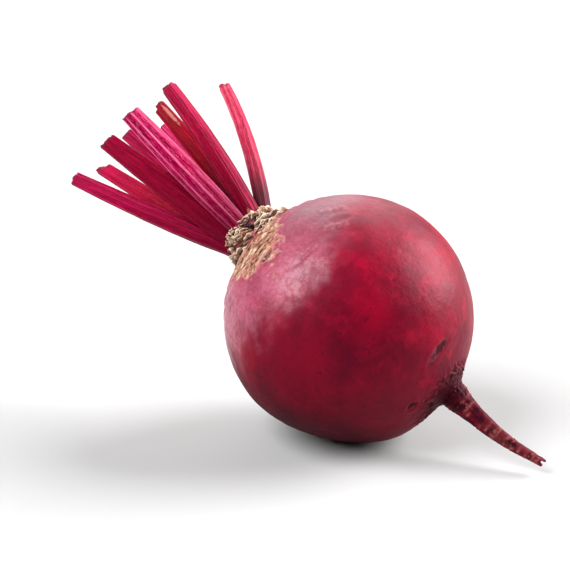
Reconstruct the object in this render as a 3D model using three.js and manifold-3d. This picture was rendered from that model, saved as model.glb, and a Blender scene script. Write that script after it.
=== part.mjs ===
// A whole beetroot lying on its side: a round root drawn out into a bent taproot, a corky crown with the
// ragged bases of old leaves, and nine cut leaf stalks fanned out of it.
// Millimetres, +Z up. The origin is the middle of the small flat spot that the root rests on, and +X points
// along the table towards the taproot.
import * as THREE from 'three';
import { mergeVertices } from 'three/addons/utils/BufferGeometryUtils.js';
import Module from 'manifold-3d';

// ---- driving dimensions ------------------------------------------------------------------------------

// The beet is described as it grew, upright: z runs up its own axis from the middle of the globe to the
// crown, and "way" is a direction round that axis in degrees, from x. LIE then lays it on its side.
const GLOBE_RADIUS = 40;
const CROWN_RISE = 29.4;
const REST_DEPTH = 1.4;

// The globe bulges to one side of the line from the crown to the taproot.
const BELLY_SAG = 2.2;
const BELLY_WAY = 210.8;
// Slow lumps all round the globe: how many there are round the axis, how they slant, and their height.
const LUMPS = [
  { round: 3, slant: 0, phase: 0.6, height: 0.3 },
  { round: 5, slant: 4, phase: 0, height: 0.18 },
  { round: 2, slant: 2, phase: -1.1, height: 0.22 },
];
// The globe is fuller than round at the heel beside the taproot, and flatter on the side that it lies on.
const SWELLINGS = [
  { down: 151, way: 208, height: 1.15, spread: 17 },
  { down: 118, way: 199, height: -0.8, spread: 28 },
];

// The corky crown covers a cap of the globe that reaches further down on one side. It meets the skin at a
// flat seam: the cap's middle leans SEAM_LEAN off the axis, and its edge lies SEAM_SPREAD from its middle.
const SEAM_SPREAD = 31;
const SEAM_LEAN = 11;
const SEAM_WAY = 300.8;
const SEAM_GAP = 0.3;
const SHOULDER_RINGS = { count: 4, from: 20, to: 48, height: 0.5, wander: 1.3 };

// Below this angle down from the crown the globe draws in to the taproot, past a soft corner.
const GLOBE_END = 165;
const DRAWN_IN = new THREE.Vector2(6, -40);
const TAPROOT_TOP = -41.4;
const TAPROOT_LENGTH = 35.5;
const TAPROOT_RADIUS = 3.3;
const TAPROOT_FLARE = 1.35;
const TAPROOT_FLARE_LENGTH = 9;
const TAPROOT_TIP_RADIUS = 1.3;
const TAPROOT_BASE_SHIFT = new THREE.Vector2(0.4, -0.7);
const TAPROOT_TIP_SHIFT = new THREE.Vector2(1.7, -1.4);
const TAPROOT_SWAY = new THREE.Vector2(-1.1, -0.5);
const WRINKLES = { height: 0.16, fine: 47, coarse: 19 };
// The tip is broken off in two prongs.
const TIP_SPLIT = { depth: 3.6, width: 1.1, length: 4, turn: 25 };

// Marks in the skin: "down" is the angle from the crown, and a mark is long round the axis.
const MARKS = [
  { down: 71.7, way: 336, long: 15, wide: 6.5, deep: 0.8 },
  { down: 72.4, way: 313, long: 10, wide: 1.6, deep: 0.5 },
  { down: 147.3, way: 326, long: 8.5, wide: 2.4, deep: 0.8 },
  { down: 155, way: 269, long: 3.4, wide: 2.8, deep: 0.8 },
  { down: 167, way: 20, long: 4.5, wide: 2.4, deep: 0.9 },
  { down: 51.5, way: 299, long: 4.5, wide: 2.6, deep: 1.1 },
  { down: 128, way: 96, long: 6.5, wide: 2, deep: 0.6 },
  { down: 66, way: 168, long: 8, wide: 1.8, deep: 0.5 },
];

const CROWN_RIM_RADIUS = 10.3;
const CROWN_BASE_RADIUS = 14.2;
const CROWN_HEIGHT = 9.2;
const CROWN_FLOOR_DEPTH = 3.2;
const CROWN_RIM_TILT = 8;
const CROWN_TILT_WAY = 30.8;
// The collar's outer side, from the rim down: how far outside the rim, and at what share of the height.
const COLLAR_SIDE = [
  { out: -0.4, up: 1 },
  { out: 0.2, up: 0.89 },
  { out: 0.5, up: 0.66 },
  { out: 1.3, up: 0.4 },
  { out: 2.2, up: 0.18 },
];
const COLLAR_WALL = 2.3;
const COLLAR_SUNK = 2;

const LEAF_BASE = { thickness: 0.8, least: 4.2, most: 7.2, sunk: 1.2, sway: 8 };
// The torn edge of a leaf base from side to side: where across its width, and how high it may reach.
const TORN_EDGE = [
  { across: 0.46, least: 0.15, most: 0.6 },
  { across: 0.18, least: 1, most: 1 },
  { across: -0.05, least: 0.55, most: 0.85 },
  { across: -0.26, least: 0.8, most: 1.1 },
  { across: -0.48, least: 0.1, most: 0.5 },
];
// Whorls of old leaf bases round the crown, from the shoulder up to the rim. The lower ones are curled down.
const WHORLS = [
  { up: -3.2, radius: 18.6, spread: 3.6, count: 11, lean: 113, tall: 2.4 },
  { up: -0.4, radius: 15.6, spread: 1.2, count: 11, lean: 104, tall: 2.6 },
  { up: 2.0, radius: 12.7, spread: 0, count: 10, lean: 110, tall: 2.4 },
  { up: 4.4, radius: 11.4, spread: 0, count: 9, lean: 24, tall: 2.8 },
  { up: 7.0, radius: 10.6, spread: 0, count: 9, lean: 14, tall: 2.6 },
];

// The stalks: seat is how far the foot stands from the axis, lean and way say where the stalk heads, bow
// how far its middle is bent outwards and swell how much thicker it is there. The end is cut at an angle
// across its width and its thickness.
const STALK_FOOT_SIZE = 0.92;
const STALK_RIDGE = 0.05;
const STALK_CHANNEL = { depth: 0.24, width: 0.24 };
const STALK_GAP = 0.3;
const CUT_RAGGEDNESS = 0.45;
const STALKS = {
  stalk_front_wide: {
    seat: 6.6, seatWay: 291, lean: 15, way: 329, long: 54.5, bow: -0.3,
    wide: 7, thick: 5.2, taper: 0.93, swell: 0.2, cut: [3, 0],
  },
  stalk_tall: {
    seat: 4.7, seatWay: 343, lean: 18.8, way: 15, long: 55.1, bow: 1.2,
    wide: 7.2, thick: 6.8, taper: 0.77, swell: 0.08, cut: [12, 8],
  },
  stalk_front_low: {
    seat: 6.9, seatWay: 222, lean: 15.1, way: 219, long: 62.9, bow: 0.6,
    wide: 6.8, thick: 7.2, taper: 0.68, swell: 0.1, cut: [8, 4],
  },
  stalk_dark_wide: {
    seat: 6.2, seatWay: 252, lean: 8.3, way: 288, long: 56.8, bow: 0.4,
    wide: 8.3, thick: 5, taper: 0.7, swell: 0.12, cut: [11, 0],
  },
  stalk_lone: {
    seat: 5.8, seatWay: 54, lean: 32.6, way: 41, long: 52.2, bow: 2.3,
    wide: 5.8, thick: 6.3, taper: 0.7, swell: 0.04, cut: [5, -8],
  },
  stalk_two_lobed: {
    seat: 6.6, seatWay: 176, lean: 14.3, way: 156, long: 66, bow: 1.2,
    wide: 6.4, thick: 5.4, taper: 0.82, swell: 0.08, cut: [-28, 0],
  },
  stalk_back: {
    seat: 6.2, seatWay: 121, lean: 17.1, way: 91, long: 61.3, bow: 0.6,
    wide: 5.2, thick: 4.4, taper: 0.85, swell: 0, cut: [-8, 5],
  },
  stalk_bruised: {
    seat: 2.9, seatWay: 50, lean: 12.2, way: 57, long: 59, bow: 0.6,
    wide: 6.6, thick: 6.2, taper: 0.72, swell: 0.08, cut: [6, 7],
  },
  stalk_middle: {
    seat: 2.2, seatWay: 200, lean: 5.8, way: 104, long: 60.9, bow: 0.4,
    wide: 5.8, thick: 4.8, taper: 0.76, swell: 0.2, cut: [-10, 0],
  },
};

const ROOT_SIDES = 44;
const TAPROOT_STEPS = 14;
const COLLAR_SIDES = 30;
const LEAF_BASE_SEED = 4127;
const STALK_SIDES = 18;
const STALK_STEPS = 9;

// ---- solids ------------------------------------------------------------------------------------------

const wasm = await Module();
wasm.setup();

const radians = THREE.MathUtils.degToRad;
const { lerp, smoothstep } = THREE.MathUtils;
const crownZ = Math.sqrt(GLOBE_RADIUS ** 2 - CROWN_BASE_RADIUS ** 2);
const bellySag = new THREE.Vector2(BELLY_SAG, 0).rotateAround(new THREE.Vector2(), radians(BELLY_WAY));

// Lays the upright beet down: the crown ends up towards -X, raised by CROWN_RISE, and the lowest point of
// the globe lies REST_DEPTH below the origin, where the flat spot is then cut.
const LIE = new THREE.Matrix4()
  .makeTranslation(0, 0, GLOBE_RADIUS - REST_DEPTH)
  .multiply(new THREE.Matrix4().makeRotationY(radians(CROWN_RISE - 90)))
  .multiply(new THREE.Matrix4().makeTranslation(-bellySag.x, -bellySag.y, 0));

// A small generator of repeatable numbers from 0 to 1.
function seededRandom(seed) {
  let state = seed;
  return () => {
    state = (state * 16807) % 2147483647;
    return state / 2147483647;
  };
}

// Moves every vertex of a geometry by a function of its place.
function reshape(geometry, move) {
  const positions = geometry.attributes.position;
  const point = new THREE.Vector3();
  for (let i = 0; i < positions.count; i += 1) {
    move(point.fromBufferAttribute(positions, i));
    positions.setXYZ(i, point.x, point.y, point.z);
  }
  return geometry;
}

// Turns a closed geometry into a solid that can be joined and cut.
function toSolid(geometry) {
  const bare = geometry.clone();
  bare.deleteAttribute('normal');
  bare.deleteAttribute('uv');
  const merged = mergeVertices(bare, 1e-3);
  const corners = merged.index.array;
  const triangles = [];
  for (let i = 0; i < corners.length; i += 3) {
    const [a, b, c] = corners.slice(i, i + 3);
    if (a !== b && b !== c && c !== a) {
      triangles.push(a, b, c);
    }
  }
  return new wasm.Manifold(new wasm.Mesh({
    numProp: 3,
    vertProperties: new Float32Array(merged.attributes.position.array),
    triVerts: new Uint32Array(triangles),
  }));
}

// A block that fills all the room under a level plane, or above it, to be cut away.
const BLOCK = 4 * GLOBE_RADIUS;

function blockUnder(z) {
  return new THREE.BoxGeometry(BLOCK, BLOCK, BLOCK).translate(0, 0, z - BLOCK / 2);
}

function blockOver(z) {
  return blockUnder(z + BLOCK);
}

// The largest body of a solid: what a cut leaves loose beside it is dropped.
function largestBody(solid) {
  const bodies = solid.decompose();
  return bodies.reduce((best, body) => (body.volume() > best.volume() ? body : best));
}

function toMesh(name, solid, color, roughness) {
  const { vertProperties, triVerts } = largestBody(solid).getMesh();
  const geometry = new THREE.BufferGeometry();
  geometry.setAttribute('position', new THREE.BufferAttribute(vertProperties, 3));
  geometry.setIndex(new THREE.BufferAttribute(triVerts, 1));
  geometry.computeVertexNormals();
  const mesh = new THREE.Mesh(geometry, new THREE.MeshStandardMaterial({ color, roughness, metalness: 0 }));
  mesh.name = name;
  return mesh;
}

// ---- root --------------------------------------------------------------------------------------------

// How far the middle of the root lies off the axis at height z: out to the belly at the globe, then along
// the taproot's base, sway and bent tip.
function centreShift(z) {
  const along = THREE.MathUtils.clamp((TAPROOT_TOP - z) / TAPROOT_LENGTH, 0, 1);
  const ringRadius = Math.sqrt(Math.max(0, 1 - (z / GLOBE_RADIUS) ** 2));
  const shift = bellySag.clone().multiplyScalar(smoothstep(ringRadius, 0.12, 0.36));
  shift.addScaledVector(TAPROOT_BASE_SHIFT, smoothstep(-z, 0.85 * GLOBE_RADIUS, GLOBE_RADIUS) * (1 - along));
  shift.addScaledVector(TAPROOT_TIP_SHIFT, along * along);
  shift.addScaledVector(TAPROOT_SWAY, Math.sin(Math.PI * along));
  return shift;
}

function taprootRadius(along) {
  const flare = TAPROOT_FLARE * Math.exp((-along * TAPROOT_LENGTH) / TAPROOT_FLARE_LENGTH);
  const wrinkles = WRINKLES.height * Math.sin(along * WRINKLES.fine) * Math.sin(along * WRINKLES.coarse + 1);
  return lerp(TAPROOT_RADIUS, TAPROOT_TIP_RADIUS, along) + flare * (1 - along) + wrinkles;
}

// The direction from the middle of the globe at an angle down from the crown, all in radians.
function direction(down, way) {
  return new THREE.Vector3(Math.sin(down) * Math.cos(way), Math.sin(down) * Math.sin(way), Math.cos(down));
}

// Half the outline of the root, from the top of the globe to the broken tip.
function rootOutline() {
  const onGlobe = (down) => new THREE.Vector2(Math.sin(radians(down)), Math.cos(radians(down)))
    .multiplyScalar(GLOBE_RADIUS);
  const outline = [];
  for (let down = 0; down < GLOBE_END - 1; down += down < SHOULDER_RINGS.to ? 3.5 : 6) {
    outline.push(onGlobe(down));
  }
  const taprootTop = new THREE.Vector2(taprootRadius(0), TAPROOT_TOP);
  outline.push(...new THREE.QuadraticBezierCurve(onGlobe(GLOBE_END), DRAWN_IN, taprootTop).getPoints(5));
  for (let i = 1; i <= TAPROOT_STEPS; i += 1) {
    const along = i / TAPROOT_STEPS;
    outline.push(new THREE.Vector2(taprootRadius(along), TAPROOT_TOP - along * TAPROOT_LENGTH));
  }
  outline.push(new THREE.Vector2(0, TAPROOT_TOP - TAPROOT_LENGTH));
  return outline.reverse();
}

// The unevenness of the globe in a direction, in millimetres: lumps that fade out at both ends, broken rings
// of old leaf scars on the shoulder, and the swellings.
function unevenness(down, way) {
  const lumps = LUMPS.reduce((sum, { round, slant, phase, height }) => (
    sum + height * Math.sin(round * way + slant * Math.cos(down) + phase)
  ), 0);
  const { count, from, to, height, wander } = SHOULDER_RINGS;
  const share = (THREE.MathUtils.radToDeg(down) - from) / (to - from);
  const inRings = smoothstep(share, -0.1, 0.1) * (1 - smoothstep(share, 0.5, 1));
  const broken = 0.6 + 0.4 * Math.sin(5 * way);
  const ring = broken * Math.sin(2 * Math.PI * count * share + wander * Math.sin(2 * way));
  const swell = SWELLINGS.reduce((sum, swelling) => {
    const apart = direction(down, way).angleTo(direction(radians(swelling.down), radians(swelling.way)));
    return sum + swelling.height * Math.exp(-((apart / radians(swelling.spread)) ** 2));
  }, 0);
  return lumps * Math.sin(down) ** 4 + height * inRings * ring + swell;
}

// Carries a point of the smooth, centred outline to the uneven skin.
function toSkin(point) {
  const grown = unevenness(Math.acos(point.z / point.length()), Math.atan2(point.y, point.x));
  const onGlobe = smoothstep(point.z, TAPROOT_TOP, TAPROOT_TOP + 3);
  const shift = centreShift(point.z);
  point.setLength(point.length() + grown * onGlobe);
  return point.add(new THREE.Vector3(shift.x, shift.y, 0));
}

// A shallow lens that is cut out of the skin, long round the axis.
function markSolid({ down, way, long, wide, deep }) {
  const lens = new THREE.SphereGeometry(1, 10, 6);
  lens.scale(long / 2, wide / 2, deep);
  lens.rotateZ(Math.PI / 2);
  lens.rotateY(radians(down));
  lens.rotateZ(radians(way));
  const place = toSkin(direction(radians(down), radians(way)).multiplyScalar(GLOBE_RADIUS));
  lens.translate(place.x, place.y, place.z);
  return toSolid(lens);
}

// Globe and taproot in one, before the crown's cap is parted from it.
function grownRoot() {
  const lathe = new THREE.LatheGeometry(rootOutline(), ROOT_SIDES);
  lathe.rotateX(Math.PI / 2);
  reshape(lathe, toSkin);
  return MARKS.reduce((solid, mark) => solid.subtract(markSolid(mark)), toSolid(lathe));
}

// The seam plane between skin and crown, moved along its own normal by half the gap to either side.
function seamBlock(makeBlock, gap) {
  const block = makeBlock(GLOBE_RADIUS * Math.cos(radians(SEAM_SPREAD)) + gap);
  block.rotateY(radians(SEAM_LEAN));
  block.rotateZ(radians(SEAM_WAY));
  return toSolid(block);
}

function rootSolid(grown) {
  const split = new THREE.ConeGeometry(TIP_SPLIT.width, 2 * TIP_SPLIT.depth, 4);
  split.rotateX(Math.PI / 2);
  split.scale(1, TIP_SPLIT.length, 1);
  split.rotateZ(radians(TIP_SPLIT.turn));
  split.translate(TAPROOT_TIP_SHIFT.x, TAPROOT_TIP_SHIFT.y, TAPROOT_TOP - TAPROOT_LENGTH);
  const solid = grown.subtract(toSolid(split)).subtract(seamBlock(blockOver, -SEAM_GAP / 2));
  // The flat spot is cut at the height of the table.
  return solid.transform(LIE.elements).subtract(toSolid(blockUnder(0)));
}

// ---- stalks ------------------------------------------------------------------------------------------

// The section of a stalk, one wide and one thick: ridged all round, with the channel of the leaf's inner
// side at the bottom.
function stalkSection() {
  const corners = [];
  for (let i = 0; i < STALK_SIDES; i += 1) {
    const angle = (2 * Math.PI * (i + 0.5)) / STALK_SIDES;
    const radius = 0.5 * (1 + (i % 2 ? STALK_RIDGE : -STALK_RIDGE));
    const x = radius * Math.cos(angle);
    const y = radius * Math.sin(angle);
    const channel = y < 0 ? STALK_CHANNEL.depth * Math.exp(-((x / STALK_CHANNEL.width) ** 2)) : 0;
    corners.push(new THREE.Vector2(x, y + channel));
  }
  return new THREE.Shape(corners);
}

// The middle line of a stalk, from its foot on the crown's floor: it leaves leaning out, and straightens.
function stalkLine({ seat, seatWay, lean, way, long, bow }) {
  const outward = new THREE.Vector3(Math.cos(radians(way)), Math.sin(radians(way)), 0);
  const foot = new THREE.Vector3(
    seat * Math.cos(radians(seatWay)),
    seat * Math.sin(radians(seatWay)),
    crownZ + CROWN_HEIGHT - CROWN_FLOOR_DEPTH + STALK_GAP,
  );
  const run = outward.clone().multiplyScalar(Math.sin(radians(lean)) * long);
  run.z = Math.cos(radians(lean)) * long;
  const tip = foot.clone().add(run);
  const middle = foot.clone().addScaledVector(run, 0.5).addScaledVector(outward, 2 * bow);
  return { outward, line: new THREE.QuadraticBezierCurve3(foot, middle, tip) };
}

// A stalk, grown on every side by a margin where it stands for the room that its neighbours leave it.
function stalkSolid(stalk, margin = 0) {
  const { outward, line } = stalkLine(stalk);
  const options = { depth: 1, steps: STALK_STEPS, bevelEnabled: false };
  const body = new THREE.ExtrudeGeometry(stalkSection(), options);
  const [slopeAcross, slopeThrough] = stalk.cut.map((angle) => Math.tan(radians(angle)));
  reshape(body, (point) => {
    const along = point.z;
    const centre = line.getPoint(along);
    const tangent = line.getTangent(along);
    const outer = outward.clone().addScaledVector(tangent, -outward.dot(tangent)).normalize();
    const side = new THREE.Vector3().crossVectors(outer, tangent);
    const swollen = 1 + stalk.swell * Math.sin(Math.PI * along);
    const size = swollen * lerp(1, stalk.taper, along) * lerp(STALK_FOOT_SIZE, 1, smoothstep(along, 0, 0.3));
    const x = point.x * (stalk.wide * size + 2 * margin);
    const y = point.y * (stalk.thick * size + 2 * margin);
    const ragged = along < 1 ? 0 : CUT_RAGGEDNESS * Math.sin(5 * Math.atan2(point.y, point.x) + stalk.way);
    const end = along < 1 ? 0 : margin + x * slopeAcross + y * slopeThrough + ragged;
    const start = along > 0 ? 0 : -margin;
    point.copy(centre).addScaledVector(side, x).addScaledVector(outer, y);
    point.addScaledVector(tangent, end + start);
  });
  return toSolid(body);
}

// ---- crown -------------------------------------------------------------------------------------------

// The rim of the crown leans over: its heights grow away from the side that it leans to.
function leanRim(point) {
  const way = radians(CROWN_TILT_WAY);
  const across = point.x * Math.cos(way) + point.y * Math.sin(way);
  const up = point.z - crownZ;
  point.z = crownZ + up * (1 - (across * Math.tan(radians(CROWN_RIM_TILT))) / CROWN_HEIGHT);
}

// The dried base of an old leaf: a small ragged plate that leans out of the crown, its root sunk well in.
function leafBase({ up, radius, spread, lean, tall }, way, random) {
  const wide = lerp(LEAF_BASE.least, LEAF_BASE.most, random());
  const reached = radius + spread * Math.cos(way - radians(SEAM_WAY));
  const height = spread ? Math.sqrt(GLOBE_RADIUS ** 2 - reached ** 2) - crownZ : up;
  const reach = tall * lerp(0.6, 1.25, random());
  const outline = new THREE.Shape([
    new THREE.Vector2(-wide / 2, -LEAF_BASE.sunk),
    new THREE.Vector2(wide / 2, -LEAF_BASE.sunk),
    ...TORN_EDGE.map(({ across, least, most }) => (
      new THREE.Vector2(wide * across, reach * lerp(least, most, random()))
    )),
  ]);
  const plate = new THREE.ExtrudeGeometry(outline, { depth: LEAF_BASE.thickness, bevelEnabled: false });
  plate.translate(0, 0, -LEAF_BASE.thickness / 2);
  plate.rotateX(Math.PI / 2);
  plate.rotateX(radians(-lean + lerp(-LEAF_BASE.sway, LEAF_BASE.sway, random())));
  plate.rotateZ(-Math.PI / 2);
  plate.translate(reached - LEAF_BASE.sunk / 2, 0, crownZ + height);
  plate.rotateZ(way);
  return reshape(plate, leanRim);
}

function crownSolid(grown) {
  const floor = crownZ + CROWN_HEIGHT - CROWN_FLOOR_DEPTH;
  const outline = [
    new THREE.Vector2(0, crownZ - COLLAR_SUNK),
    new THREE.Vector2(CROWN_BASE_RADIUS, crownZ - COLLAR_SUNK),
    new THREE.Vector2(CROWN_BASE_RADIUS, crownZ),
    ...COLLAR_SIDE.map(({ out, up }) => new THREE.Vector2(CROWN_RIM_RADIUS + out, crownZ + CROWN_HEIGHT * up))
      .reverse(),
    new THREE.Vector2(CROWN_RIM_RADIUS - COLLAR_WALL, floor),
    new THREE.Vector2(0, floor),
  ];
  const collar = new THREE.LatheGeometry(outline, COLLAR_SIDES);
  collar.rotateX(Math.PI / 2);
  let solid = grown.add(toSolid(reshape(collar, leanRim)));
  const random = seededRandom(LEAF_BASE_SEED);
  for (const whorl of WHORLS) {
    const turn = random() * 2 * Math.PI;
    for (let i = 0; i < whorl.count; i += 1) {
      const way = turn + (2 * Math.PI * (i + lerp(-0.2, 0.2, random()))) / whorl.count;
      solid = solid.add(toSolid(leafBase(whorl, way, random)));
    }
  }
  for (const stalk of Object.values(STALKS)) {
    solid = solid.subtract(stalkSolid(stalk, STALK_GAP));
  }
  return solid.subtract(seamBlock(blockUnder, SEAM_GAP / 2));
}

// ---- the beetroot ------------------------------------------------------------------------------------

const beetroot = new THREE.Group();
const grown = grownRoot();
beetroot.add(toMesh('root', rootSolid(grown), 0x8c1432, 0.45));
beetroot.add(toMesh('crown', crownSolid(grown).transform(LIE.elements), 0xc8a578, 0.9));
const taken = [];
for (const [name, stalk] of Object.entries(STALKS)) {
  const solid = taken.reduce((rest, neighbour) => rest.subtract(neighbour), stalkSolid(stalk));
  taken.push(stalkSolid(stalk, STALK_GAP));
  beetroot.add(toMesh(name, solid.transform(LIE.elements), 0xb4104a, 0.4));
}

export default beetroot;
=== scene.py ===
import math
import random

import bmesh
import bpy
from mathutils import Matrix, Vector, noise


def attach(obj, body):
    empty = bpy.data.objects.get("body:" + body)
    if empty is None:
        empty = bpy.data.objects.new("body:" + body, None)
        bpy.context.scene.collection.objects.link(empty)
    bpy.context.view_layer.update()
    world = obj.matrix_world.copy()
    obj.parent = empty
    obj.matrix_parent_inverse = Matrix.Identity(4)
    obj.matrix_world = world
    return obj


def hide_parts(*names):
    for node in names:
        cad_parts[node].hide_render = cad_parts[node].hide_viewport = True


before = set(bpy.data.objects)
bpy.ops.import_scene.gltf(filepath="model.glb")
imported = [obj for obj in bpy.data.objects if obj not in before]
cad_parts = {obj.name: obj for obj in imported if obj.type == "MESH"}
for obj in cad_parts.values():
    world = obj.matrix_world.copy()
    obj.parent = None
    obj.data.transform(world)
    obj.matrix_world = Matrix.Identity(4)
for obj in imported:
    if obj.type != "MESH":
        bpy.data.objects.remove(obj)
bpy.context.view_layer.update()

# ---- Root ------------------------------------------------------------------------------------------------
# The storage root and its taproot, one body of flesh under a thin crimson skin. It is turned upright in
# millimetres, crown up, and grown uneven; then it is laid on its side on the small flat spot it rests on.

MM = 0.001
GLOBE_RADIUS = 40
CROWN_RISE = 29.4  # how steeply the crown points up once the root lies down, in degrees
REST_DEPTH = 1.4  # how much of the globe the flat spot takes off
BELLY_SAG, BELLY_WAY = 2.2, 210.8  # how far the globe's middle lies off the axis, and its way round it
LUMPS = ((3, 0, 0.6, 0.3), (5, 4, 0, 0.18), (2, 2, -1.1, 0.22))  # round, slant, phase, height
SWELLINGS = ((151, 208, 1.15, 17), (118, 199, -0.8, 28))  # down, way, height, spread
UNEVENNESS = ((9, 0.16), (3.6, 0.08), (1.7, 0.035))  # size, height
RING_COUNT, RING_FROM, RING_TO, RING_HEIGHT, RING_WANDER = 4, 20, 48, 0.5, 1.3
SHADED_SIDE, SHADED_SPREAD, SHADED_MOST = (96, 262), 34, 0.6  # painted shade on one side of the globe: down and way
UNDER_FROM, UNDER_FULL = 0.046, 0.006  # heights over the table where the painted shade of the underside starts, in metres
SHADE_EASE_FROM, SHADE_EASE_FULL, SHADE_EASE_MOST = 0.012, 0.032, 0.6  # where the underside's painted shade eases off, towards the taproot
TOP_FROM, TOP_FULL = 0.064, 0.0785  # heights over the table where dust and painted shade on top start, in metres
GLOBE_END = 165  # angle down from the crown where the globe curves into the neck
NECK_CORNER = 6
TAPROOT_TOP, TAPROOT_LENGTH = -41.4, 35.5
TAPROOT_RADIUS, TAPROOT_TIP_RADIUS = 3.3, 1.3
TAPROOT_FLARE, TAPROOT_FLARE_LENGTH = 1.35, 9
TAPROOT_BASE_SHIFT = Vector((0.4, -0.7))
TAPROOT_TIP_SHIFT = Vector((1.7, -1.4))
TAPROOT_SWAY = Vector((-1.1, -0.5))
SPLIT_DEPTH, SPLIT_WIDTH, SPLIT_WAY = 3.1, 0.34, 25  # the split in the broken tip
CROWN_HEIGHT = 9.2
CROWN_FOOT_DOWN = 20.8  # angle down from the crown where the collar stands on the globe
# How far down the cork spreads all round, and how much further at its tongue; then the waxy film beside it,
# its paler colour partly painted sheen.
CORK_REACH, CORK_TONGUE, CORK_TONGUE_WAY = 26, 32, 298
FILM_REACH, FILM_TONGUE, FILM_TONGUE_WAY = 50, 18, 297
ROOT_SIDES = 320


def smoothstep(value, low, high):
    share = min(max((value - low) / (high - low), 0), 1)
    return share * share * (3 - 2 * share)


def lerp(start, end, share):
    return start + (end - start) * share


# Dents and scars in the skin: down from the crown, way round the axis, length round the axis, slant of that
# length, width, depth, and how dark the scar is. A depth below 0 is a bump that stands out.
PUCKER_ROWS = ((67.4, 328.6, 72.9, 337), (57.7, 338, 65, 346.5))  # two rows of small bumps beside a fold
PUCKER_BUMPS = ((0.05, 2.2), (0.34, 3.2), (0.63, 2.4), (0.96, 3.4))  # how far along the row, length
MARKS = (
    (68.5, 337.4, 6.6, 26, 2.6, 0.6, 0.05),
    *[(lerp(down, end, at), lerp(way, end_way, at), long, -50, 1.7, -0.3 - 0.07 * long * at, 0)
      for down, way, end, end_way in PUCKER_ROWS for at, long in PUCKER_BUMPS],
    (70.4, 314, 10.5, 4, 1.7, 0.42, 0.08),
    (146.4, 326.5, 9.4, -12, 2.7, 0.55, 1.0),
    (155.9, 268, 3.4, 20, 2.8, 0.8, 1.0),
    (168.3, 42, 5.5, 0, 2.3, 1.3, 1.2),
    (51.5, 299, 4.2, 6, 2.2, 0.8, 1.0),
    (128, 96, 6.5, 25, 2, 0.6, 0.8),
    (66, 168, 8, 10, 1.8, 0.5, 0.5),
)

BELLY = Vector((math.cos(math.radians(BELLY_WAY)), math.sin(math.radians(BELLY_WAY)))) * BELLY_SAG
LAID_DOWN = (
    Matrix.Scale(MM, 4)
    @ Matrix.Translation((0, 0, GLOBE_RADIUS - REST_DEPTH))
    @ Matrix.Rotation(math.radians(CROWN_RISE - 90), 4, "Y")
    @ Matrix.Translation((-BELLY.x, -BELLY.y, 0))
)


def facing(down, way):
    """The direction from the middle of the globe, at an angle down from the crown and a way round it."""
    down, way = math.radians(down), math.radians(way)
    return Vector((math.sin(down) * math.cos(way), math.sin(down) * math.sin(way), math.cos(down)))


def bearings(point):
    """A point's distance from the axis and angle round it, and its angle down and way round in degrees."""
    reach = math.hypot(point.x, point.y)
    angle = math.atan2(point.y, point.x)
    return reach, angle, math.degrees(math.atan2(reach, point.z)), math.degrees(angle) % 360


def turn_from(way, other):
    """The turn from the other way round to this one, from -180 to 180 degrees."""
    return (way - other + 180) % 360 - 180


def ring_place(point, down):
    """Where the skin's streaks read their noise, so that they run along the root's rings."""
    return point.x * 0.18, point.y * 0.18, down * 0.7


def centre_shift(height):
    """How far the middle of the root lies off its axis: out to the belly, then along the bent taproot."""
    along = min(max((TAPROOT_TOP - height) / TAPROOT_LENGTH, 0), 1)
    ring = math.sqrt(max(0, 1 - (height / GLOBE_RADIUS) ** 2))
    shift = BELLY * smoothstep(ring, 0.12, 0.36)
    shift += TAPROOT_BASE_SHIFT * smoothstep(-height, 0.85 * GLOBE_RADIUS, GLOBE_RADIUS) * (1 - along)
    return shift + TAPROOT_TIP_SHIFT * along ** 2 + TAPROOT_SWAY * math.sin(math.pi * along)


def taproot_radius(along):
    flare = TAPROOT_FLARE * math.exp(-along * TAPROOT_LENGTH / TAPROOT_FLARE_LENGTH)
    return lerp(TAPROOT_RADIUS, TAPROOT_TIP_RADIUS, along) + flare * (1 - along)


def root_outline():
    """Half the outline of the root, as radius and height, from the top of the globe to the broken tip."""
    globe_steps, neck_steps, taproot_steps, tip_steps = 190, 26, 86, 7
    outline = []
    for step in range(globe_steps):
        down = math.radians(GLOBE_END * step / globe_steps)
        outline.append((GLOBE_RADIUS * math.sin(down), GLOBE_RADIUS * math.cos(down)))
    start = Vector((math.sin(math.radians(GLOBE_END)), math.cos(math.radians(GLOBE_END)))) * GLOBE_RADIUS
    corner, end = Vector((NECK_CORNER, -GLOBE_RADIUS)), Vector((taproot_radius(0), TAPROOT_TOP))
    for step in range(neck_steps):
        share = step / neck_steps
        outline.append(start.lerp(corner, share).lerp(corner.lerp(end, share), share))
    for step in range(taproot_steps + 1):
        along = step / taproot_steps
        outline.append((taproot_radius(along), TAPROOT_TOP - along * TAPROOT_LENGTH))
    for step in range(1, tip_steps + 1):
        outline.append((taproot_radius(1) * (1 - step / tip_steps), TAPROOT_TOP - TAPROOT_LENGTH))
    return outline


def turned(outline, sides):
    """A closed body turned round the upright axis from half its outline."""
    body = bmesh.new()
    corners = [body.verts.new((radius, 0, height)) for radius, height in outline]
    edges = [body.edges.new(pair) for pair in zip(corners, corners[1:])]
    geom = corners + edges
    bmesh.ops.spin(body, geom=geom, axis=(0, 0, 1), angle=2 * math.pi, steps=sides, use_merge=True)
    bmesh.ops.remove_doubles(body, verts=body.verts, dist=1e-4)
    bmesh.ops.recalc_face_normals(body, faces=body.faces)
    return body


def cork_reach(way):
    """How far down from the crown the tan cork spreads over the shoulder, in degrees."""
    return CORK_REACH + CORK_TONGUE * max(0, math.cos(math.radians(way - CORK_TONGUE_WAY))) ** 9


def cork_depth(down):
    """How far below the crown's rim the shoulder lies at an angle down from the crown, in millimetres."""
    return CROWN_HEIGHT + GLOBE_RADIUS * math.radians(down - CROWN_FOOT_DOWN)


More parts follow.
